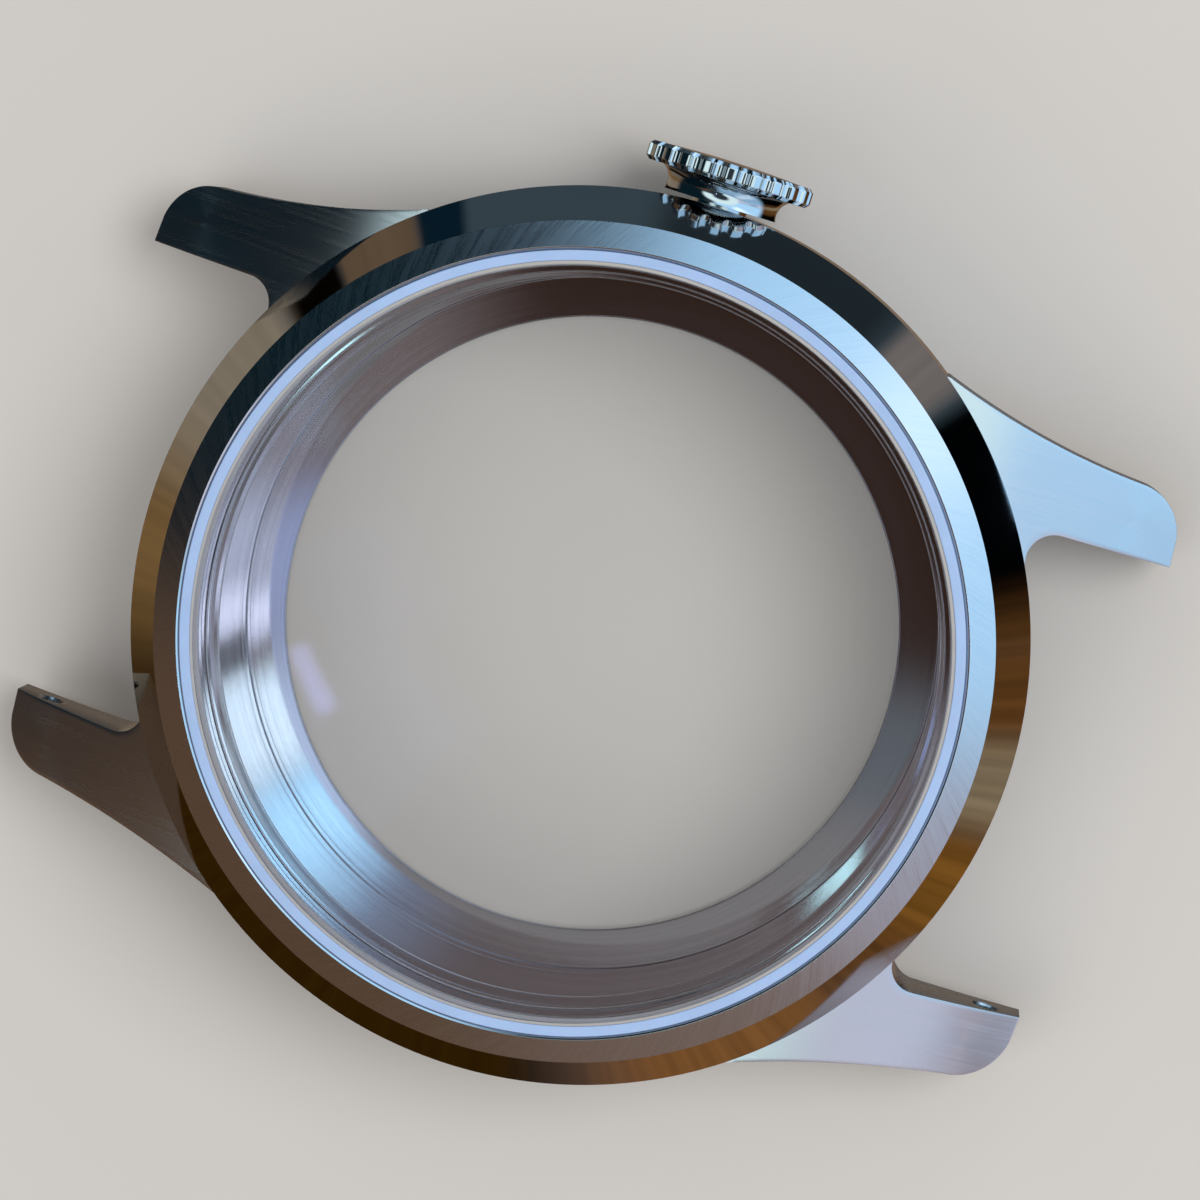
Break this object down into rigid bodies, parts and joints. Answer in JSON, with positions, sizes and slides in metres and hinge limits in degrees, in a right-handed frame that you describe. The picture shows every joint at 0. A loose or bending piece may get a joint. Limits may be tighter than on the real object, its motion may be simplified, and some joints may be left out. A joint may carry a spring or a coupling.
{
  "type": "empty watch case",
  "caption": "Round steel wristwatch case without a movement: lugs for a strap, bezel with flat crystal, scalloped push-pull crown and press-on back with a window.",
  "frame": {"origin": "on the case axis, at the outer face of the back, where the case lies on a table", "axes": "+Z along the case axis to the front crystal, +X to the crown at 3 o'clock, +Y to the strap gap at 12 o'clock"},
  "size_m": [0.0432, 0.0494, 0.0129],
  "materials": {
    "case_steel": "fine turned stainless steel",
    "lug_steel": "stainless steel brushed along the lug",
    "bezel_steel": "polished flank and radially brushed face, stainless steel",
    "crown_steel": "polished stainless steel",
    "tube_steel": "turned stainless steel",
    "back_steel": "turned stainless steel",
    "crystal": "clear polished crystal",
    "gasket_nylon": "pale moulded nylon",
    "seal_rubber": "black nitrile rubber"
  },
  "bodies": {
    "case": {"mid_case": "case_steel", "lug_one_oclock": "lug_steel", "lug_five_oclock": "lug_steel", "lug_seven_oclock": "lug_steel", "lug_eleven_oclock": "lug_steel", "bezel": "bezel_steel", "bezel_gasket": "gasket_nylon", "front_crystal": "crystal", "front_crystal_gasket": "gasket_nylon", "crown_tube": "tube_steel"},
    "crown_seals": {"crown_gasket_inner": "seal_rubber", "crown_gasket_outer": "seal_rubber"},
    "crown": {"crown_head": "crown_steel", "crown_post": "tube_steel"},
    "back": {"case_back_ring": "back_steel", "back_crystal": "crystal", "back_crystal_gasket": "gasket_nylon", "case_back_gasket": "seal_rubber"}
  },
  "joints": [
    {"name": "crown_pull", "type": "slide", "parent": "case", "child": "crown_seals", "axis": [1, 0, 0], "range_m": [0, 0.006]},
    {"name": "crown_turn", "type": "hinge", "parent": "crown_seals", "child": "crown", "pos_m": [0.021, 0, 0.0055], "axis": [1, 0, 0], "continuous": true},
    {"name": "back_lift_off", "type": "slide", "parent": "case", "child": "back", "axis": [0, 0, -1], "range_m": [0, 0.012]}
  ]
}
